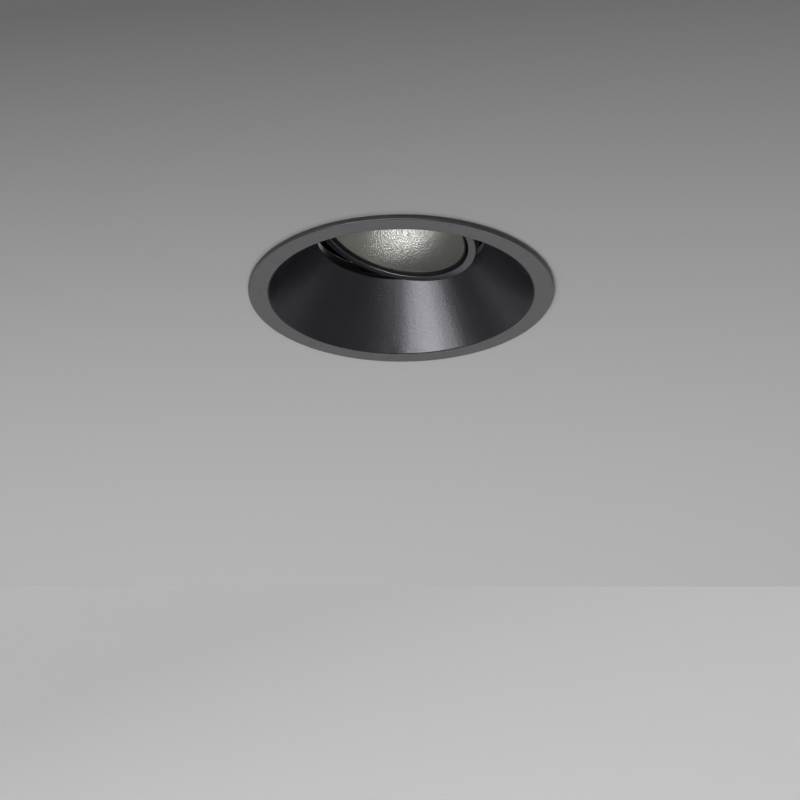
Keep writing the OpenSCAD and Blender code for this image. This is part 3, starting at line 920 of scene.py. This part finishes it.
@dataclass
class Trim:
    """Flange, glare cone, gasket and neck."""

    flange_r: float = 55.0
    flange_z: float = -2.1
    flange_edge: float = 0.5
    register_r: float = 48.1
    gasket_top: float = -0.5
    gasket_in: float = 50.3
    gasket_out: float = 54.2

    def flange(self) -> None:
        """Flat ring seen from the room."""
        shape = Shape(Axes.ROOM).lathe(
            [
                Corner(self.register_r, self.flange_z, 0.1),
                Corner(self.flange_r, self.flange_z, self.flange_edge),
                Corner(self.flange_r, self.gasket_top, 0.2),
                Corner(self.register_r, self.gasket_top, 0.1),
            ],
            steps=256,
        )
        shape.piece("flange_ring", Body.TRIM, TRIM_COAT, "trim_flange")

    def gasket(self) -> None:
        """Pressed foam ring between flange and ceiling."""
        shape = Shape(Axes.ROOM).lathe(
            [
                Corner(self.gasket_in, self.gasket_top, 0.12),
                Corner(self.gasket_out, self.gasket_top, 0.12),
                Corner(self.gasket_out, 0, 0.12),
                Corner(self.gasket_in, 0, 0.12),
            ]
        )
        shape.piece("gasket_ring", Body.TRIM, SEAL_RUBBER, "ceiling_gasket")

    def build(self) -> None:
        """Builds the trim's pieces."""
        self.flange()
        self.gasket()
        eased("trim_cone", Body.TRIM, CONE_COAT, Axes.ROOM, 0.15)
        eased("neck_ring", Body.TRIM, SWIVEL_ALLOY, Axes.ROOM, 0.15)
        eased("retaining_ring", Body.TRIM, BRIGHT_STEEL, Axes.ROOM, 0.12)
        eased("retaining_screws", Body.TRIM, BRIGHT_STEEL, Axes.ROOM, 0.1)
        for node in ("glide_ring", "friction_ring"):
            eased(node, Body.TRIM, SLIDE_POLYMER, Axes.ROOM, 0.08)


@dataclass
class SpringClip:
    """Bracket, pin, torsion spring and sleeved arm of one side."""

    side: str
    coil_r: float = 2.0
    wire_r: float = 0.45
    coil_half: float = 2.3
    fixed_turns: float = 3.39
    live_sweep: float = 340.0
    live_start: float = 90.0
    last_pitch: float = 0.98
    live_gap: float = 0.05
    coil_steps: int = 150
    live_steps: int = 48
    fixed_leg: tuple[tuple[float, float], ...] = ((-2.5, -8.0), (-2.5, -4.0), (-2.15, -1.4))
    live_leg_line: tuple[tuple[float, float], ...] = ((2.4, 1.78), (5.0, 1.22), (7.0, 1.1), (12.5, 1.1))

    @property
    def pin_axes(self) -> Axes:
        """Axes at this side's pin."""
        return Axes[f"PIN_{self.side.upper()}"]

    @property
    def arm_axes(self) -> Axes:
        """Axes of this side's arm."""
        return Axes[f"ARM_{self.side.upper()}"]

    @property
    def body(self) -> Body:
        """Body of this side's arm."""
        return Body[f"CLIP_{self.side.upper()}"]

    def coil(self) -> None:
        """Fixed leg and coil, which stay with the bracket."""
        start, reach = -self.coil_half, 2 * self.coil_half - self.last_pitch
        line: list[Point] = [(x, start, z) for x, z in self.fixed_leg]
        for i in range(self.coil_steps + 1):
            share = i / self.coil_steps
            angle = math.pi - FULL_TURN * self.fixed_turns * share
            line.append(
                (self.coil_r * math.cos(angle), start + reach * share, self.coil_r * math.sin(angle))
            )
        wire(
            f"spring_coil_{self.side}", line, self.wire_r, self.pin_axes, Body.TRIM, SPRING_STEEL,
            f"clip_spring_{self.side}",
        )

    def live_leg(self) -> None:
        """Last turn and live leg, which swing with the arm."""
        y = self.coil_half + self.live_gap
        line: list[Point] = []
        for i in range(self.live_steps + 1):
            turned = self.live_start - self.live_sweep * i / self.live_steps
            angle = math.radians(turned)
            line.append((self.coil_r * math.cos(angle), y, self.coil_r * math.sin(angle)))
        line += [(x, y, z) for x, z in self.live_leg_line]
        wire(
            f"spring_leg_{self.side}", line, self.wire_r, self.arm_axes, self.body, SPRING_STEEL
        )

    def build(self) -> None:
        """Builds this side's pieces."""
        eased(f"clip_bracket_{self.side}", Body.TRIM, BRIGHT_STEEL, self.pin_axes, 0.1)
        eased(f"clip_pin_{self.side}", Body.TRIM, BRIGHT_STEEL, self.pin_axes, 0.12)
        self.coil()
        self.live_leg()
        eased(f"clip_arm_{self.side}", self.body, SPRING_STEEL, self.arm_axes, 0.12)
        eased(f"clip_pad_{self.side}", self.body, SEAL_RUBBER, self.arm_axes, 0.3)


@dataclass
class Swivel:
    """Swivel ring and yoke."""

    def build(self) -> None:
        """Builds the swivel's pieces."""
        eased("swivel_ring", Body.SWIVEL, SWIVEL_ALLOY, Axes.SWIVEL, 0.12)
        eased("stop_pin", Body.SWIVEL, BRIGHT_STEEL, Axes.SWIVEL, 0.08)
        for node in ("yoke_arm_slotted", "yoke_arm_plain"):
            eased(node, Body.SWIVEL, YOKE_STEEL, Axes.SWIVEL, 0.15)
        eased("yoke_screws", Body.SWIVEL, BRIGHT_STEEL, Axes.SWIVEL, 0.1)


@dataclass
class Lamp:
    """Lamp ring, reflector, light source, barrel and heat sink."""

    ring_z: float = -9.4
    ring_r: float = 30.3
    ring_open_r: float = 27.2
    ring_t: float = 2.0
    skirt_z: float = -4.2
    barrel_r: float = 28.6
    rim_r: float = 25.7
    rim_z: float = -8.7
    throat_r: float = 8.4
    throat_z: float = 12.2
    collar_z: float = 14.9
    holder_z: float = 16.4
    wall: float = 0.7
    collar_t: float = 1.1
    peening: Peening = Peening(0.5, 0.02)
    peened: tuple[float, float] = (0.03, 0.98)

    def bowl(self, share: float, out: float) -> Corner:
        """Point of the bowl's section, which is part of an ellipse.

        Args:
            share: 0 at the rim and 1 at the throat.
            out: Distance outside the reflecting surface.

        Returns:
            The point.
        """
        end = math.acos(self.throat_r / self.rim_r)
        tall = (self.throat_z - self.rim_z) / math.sin(end)
        across, up = math.cos(end * share), math.sin(end * share)
        slant = math.hypot(tall * across, self.rim_r * up)
        return Corner(
            self.rim_r * across + out * tall * across / slant,
            self.rim_z + tall * up + out * self.rim_r * up / slant,
        )

    def ring(self) -> None:
        """Face ring in front of the reflector."""
        seat = self.ring_z + self.ring_t
        shape = Shape(Axes.LAMP).lathe(
            [
                Corner(self.ring_open_r, self.ring_z, 0.45),
                Corner(self.ring_r, self.ring_z, 0.5),
                Corner(self.ring_r, self.skirt_z, 0.2),
                Corner(self.barrel_r + 0.1, self.skirt_z, 0.15),
                Corner(self.barrel_r + 0.1, seat),
                Corner(self.ring_open_r, seat, 0.2),
            ],
            steps=224,
        )
        shape.piece("face_ring", Body.LAMP, RING_COAT, "lamp_ring")

    def reflector(self) -> None:
        """Spun bowl with a rolled rim and a collar at its throat."""
        inner_steps, outer_steps = 72, 18
        inner = [self.bowl(i / inner_steps, 0.0) for i in range(inner_steps + 1)]
        outer = [self.bowl(i / outer_steps, self.wall) for i in reversed(range(outer_steps))]
        inner[0] = Corner(self.rim_r, self.rim_z, 0.25)
        outer[-1] = Corner(self.rim_r + self.wall, self.rim_z, 0.25)
        collar_r = self.throat_r + self.collar_t
        collar = [
            Corner(self.throat_r, self.collar_z),
            Corner(collar_r, self.collar_z),
            Corner(collar_r, self.throat_z + 0.4),
        ]
        outer = [c for c in outer if c.r > collar_r + 0.1]
        shape = Shape(Axes.LAMP).lathe(inner + collar + outer, steps=400)
        self.peening.apply(shape.bm, self.is_mirror)
        shape.piece("reflector_bowl", Body.LAMP, REFLECTOR_SILVER, "reflector", sharp=60)

    def is_mirror(self, vert: bmesh.types.BMVert) -> bool:
        """True for a vertex on the bowl's reflecting side, clear of rim and throat."""
        rise = (vert.co.z - self.rim_z) / (self.throat_z - self.rim_z)
        low, high = self.peened
        return low < rise < high and vert.normal.to_2d().dot(vert.co.to_2d()) < 0

    def window(self) -> None:
        """Glass disc over the light source."""
        shape = Shape(Axes.LAMP).lathe(
            [
                Corner(0, self.collar_z),
                Corner(self.throat_r + self.collar_t, self.collar_z, 0.15),
                Corner(self.throat_r + self.collar_t, self.holder_z, 0.15),
                Corner(0, self.holder_z),
            ],
            steps=96,
        )
        shape.piece("window_disc", Body.LAMP, CLEAR_GLASS, "led_window")

    def build(self) -> None:
        """Builds the lamp's pieces."""
        self.ring()
        self.reflector()
        self.window()
        plain: list[tuple[str, Finish, float]] = [
            ("lamp_barrel", BARREL_BLACK, 0.15),
            ("ring_seal", SEAL_RUBBER, 0.05),
            ("barrel_seal", SEAL_RUBBER, 0.05),
            ("barrel_screws", BRIGHT_STEEL, 0.1),
            ("led_holder", HOLDER_WHITE, 0.12),
            ("holder_screws", BRIGHT_STEEL, 0.1),
            ("led_board", BOARD_CERAMIC, 0.05),
            ("led_emitter", PHOSPHOR, 0.1),
            ("thermal_pad", PAD_GREY, 0.03),
            ("heat_sink", SINK_ALLOY, 0.15),
            ("rear_cap", BARREL_BLACK, 0.12),
            ("rear_cap_screws", BRIGHT_STEEL, 0.1),
            ("friction_washers", SLIDE_POLYMER, 0.08),
            ("pivot_screws", BRIGHT_STEEL, 0.12),
            ("tilt_lock_screw", BRIGHT_STEEL, 0.12),
            ("lock_washer", BRIGHT_STEEL, 0.08),
            ("gland_body", GLAND_BLACK, 0.15),
            ("gland_seal", SEAL_RUBBER, 0.1),
            ("gland_nut", GLAND_BLACK, 0.15),
        ]
        for node, finish, edge in plain:
            eased(node, Body.LAMP, finish, Axes.LAMP, edge)


# ---------- studio ----------


@dataclass(frozen=True)
class Paint:
    """Matt paint of a backdrop, with painted shade that runs from a dark tone to a pale one, for the
    fall of the light across it.

    Attributes:
        name: The material's name.
        axis: Index of the axis that the tone runs along.
        low: Place of the dark tone, in millimetres.
        high: Place of the pale tone.
        tones: The dark and the pale tone of the painted shade.
        skew: Share of x that is added to the place.
        one_sided: True where the backdrop isn't seen from behind.
        width: Distance from the middle within which x counts.
        grain: Size of the paint's grain.
        relief: Its depth.
    """

    name: str
    axis: int
    low: float
    high: float
    tones: tuple[float, float]
    skew: float = 0.0
    one_sided: bool = False
    width: float = 200.0
    grain: float = 1.4
    relief: float = 0.03

    def material(self) -> bpy.types.Material:
        """Builds the paint's material."""
        graph = Graph(bpy.data.materials.new(self.name), Axes.ROOM.matrix())
        along = graph.axis(self.axis)
        side = graph.axis(0).clamp(-self.width, self.width)
        share = ((along + side * self.skew - self.low) / (self.high - self.low)).clamp()
        # Painted shade: the tone eases from dark to pale along the axis, for the fall of the light.
        painted_falloff = share * (2.0 - share)
        grain = graph.noise(self.grain, 3.0)
        low, high = ((tone, tone, tone) for tone in self.tones)
        return graph.surface(
            {
                "Base Color": graph.blend(painted_falloff, low, high),
                "Roughness": 0.85 + grain * 0.1,
                "Specular IOR Level": 0.15,
                "Normal": graph.bump(grain, self.relief),
            },
            self.one_sided,
        )


@dataclass
class Room:
    """Ceiling and wall round the light, which aren't part of it.

    The wall lets the lights through, because one of them stands behind it.
    """

    hole_r: float = 50.0
    reach: float = 3000.0
    wall_y: float = 319.0
    wall_drop: float = 2400.0
    # Painted shade: the ceiling darkens towards the camera's side and the wall towards the ceiling.
    ceiling_paint: Paint = Paint("ceiling_paint", 1, -182.0, 509.0, (0.127, 0.668), 0.136)
    wall_paint: Paint = Paint(
        "wall_paint", 2, 5.0, -300.0, (0.578, 0.815), -0.378, one_sided=True
    )

    def put(self, bm: bmesh.types.BMesh, name: str, paint: Paint, shades: bool) -> None:
        """Adds a backdrop to the scene.

        Args:
            bm: Its mesh in metres, which is freed.
            name: Its name.
            paint: Its paint.
            shades: False for a backdrop that lets the lights through.
        """
        mesh = bpy.data.meshes.new(name)
        bm.to_mesh(mesh)
        bm.free()
        mesh.materials.append(paint.material())
        backdrop = bpy.data.objects.new(name, mesh)
        bpy.context.scene.collection.objects.link(backdrop)
        backdrop.visible_shadow = backdrop.visible_diffuse = shades

    def build(self) -> None:
        """Builds ceiling and wall."""
        ceiling = bmesh.new()
        bmesh.ops.create_circle(ceiling, segments=192, radius=self.hole_r * MM)
        rim = bmesh.ops.extrude_edge_only(ceiling, edges=ceiling.edges[:])["geom"]
        outer = [v for v in rim if isinstance(v, bmesh.types.BMVert)]
        bmesh.ops.scale(ceiling, vec=(self.reach / self.hole_r,) * 2 + (1,), verts=outer)
        self.put(ceiling, "ceiling", self.ceiling_paint, True)
        wall = bmesh.new()
        stand = Matrix.Translation((0, self.wall_y * MM, -self.wall_drop / 2 * MM))
        stand = stand @ Matrix.Rotation(math.pi / 2, 4, "X")
        size = Matrix.Diagonal((self.reach * MM, self.wall_drop / 2 * MM, 1, 1))
        bmesh.ops.create_grid(wall, x_segments=1, y_segments=1, size=1.0, matrix=stand @ size)
        self.put(wall, "wall", self.wall_paint, False)


@dataclass(frozen=True)
class Softbox:
    """A soft light that faces the object, with its width and height in metres."""

    name: str
    azimuth: float
    elevation: float
    distance: float
    size: tuple[float, float]
    power: float

    def build(self) -> None:
        """Adds the light, whose azimuth 0 is on the camera's side."""
        data = bpy.data.lights.new(self.name, "AREA")
        data.shape, data.energy = "RECTANGLE", self.power
        data.size, data.size_y = self.size
        turn, lift = math.radians(self.azimuth), math.radians(self.elevation)
        flat = self.distance * math.cos(lift)
        place = Vector((flat * math.sin(turn), -flat * math.cos(turn), self.distance * math.sin(lift)))
        light = bpy.data.objects.new(self.name, data)
        light.location = place
        light.rotation_euler = (-place).to_track_quat("-Z", "Y").to_euler()
        light.visible_camera = False
        bpy.context.scene.collection.objects.link(light)


@dataclass
class Studio:
    """Camera and lights."""

    eye: Point = (-0.00042, -0.6382, -0.3383)
    pitch: float = 24.79
    lens: float = 90.0
    sensor: float = 36.0
    floor_light: float = 0.10
    room_light: float = 0.22
    void_light: float = 0.2
    air: Colour = (0.93, 0.935, 0.95)
    lights: tuple[Softbox, ...] = (
        Softbox("key", -27.0, -50.0, 1.25, (0.5, 0.35), 6.0),
        Softbox("key_left", -48.0, -44.0, 1.25, (0.4, 0.75), 4.0),
        Softbox("front", 6.0, -30.0, 1.25, (0.6, 0.35), 4.4),
        Softbox("wall_side", 175.0, -54.0, 1.3, (0.6, 0.6), 4.0),
        Softbox("rear_left", -125.0, 11.0, 1.1, (0.8, 0.3), 11.0),
        Softbox("rear_right", 70.0, 11.0, 1.1, (0.8, 0.3), 9.0),
        Softbox("rear_back", 165.0, 27.0, 1.2, (0.7, 0.5), 8.0),
    )

    def camera(self) -> None:
        """Camera at the photograph's place."""
        data = bpy.data.cameras.new("camera")
        data.lens, data.sensor_width, data.clip_start = self.lens, self.sensor, 0.01
        camera = bpy.data.objects.new("camera", data)
        camera.location = self.eye
        camera.rotation_euler = (math.radians(90 + self.pitch), 0, 0)
        bpy.context.scene.collection.objects.link(camera)
        bpy.context.scene.camera = camera

    def world(self) -> None:
        """Even pale light from the room and a dim void over the ceiling."""
        world = bpy.data.worlds.new("studio")
        graph = Graph(world)
        level, up = graph.axis(2).over(-0.2, 0.3), graph.axis(2).over(0.33, 0.1)
        seen = Num(graph, graph.node("ShaderNodeLightPath").outputs["Is Camera Ray"])
        room = self.floor_light + level * (self.room_light - self.floor_light)
        strength = room + up * (self.void_light - self.room_light) - up * seen * self.void_light
        back = graph.node(
            "ShaderNodeBackground", None, {"Color": (*self.air, 1), "Strength": strength}
        )
        graph.node("ShaderNodeOutputWorld", None, {"Surface": back.outputs[0]})
        bpy.context.scene.world = world

    def build(self) -> None:
        """Builds camera, world and lights."""
        self.camera()
        self.world()
        for light in self.lights:
            light.build()
        bpy.context.scene.view_settings.view_transform = "Standard"


def main() -> None:
    """Builds the light and its studio."""
    logging.basicConfig(level=logging.INFO, format="%(name)s %(levelname)s %(message)s")
    Room().build()
    Studio().build()
    Trim().build()
    for side in ("right", "left"):
        SpringClip(side).build()
    for node, finish in (("bracket_screws", BRIGHT_STEEL), ("pin_clips", SPRING_STEEL)):
        eased(node, Body.TRIM, finish, Axes.ROOM, 0.08)
    Swivel().build()
    Lamp().build()


if __name__ == "__main__":
    main()
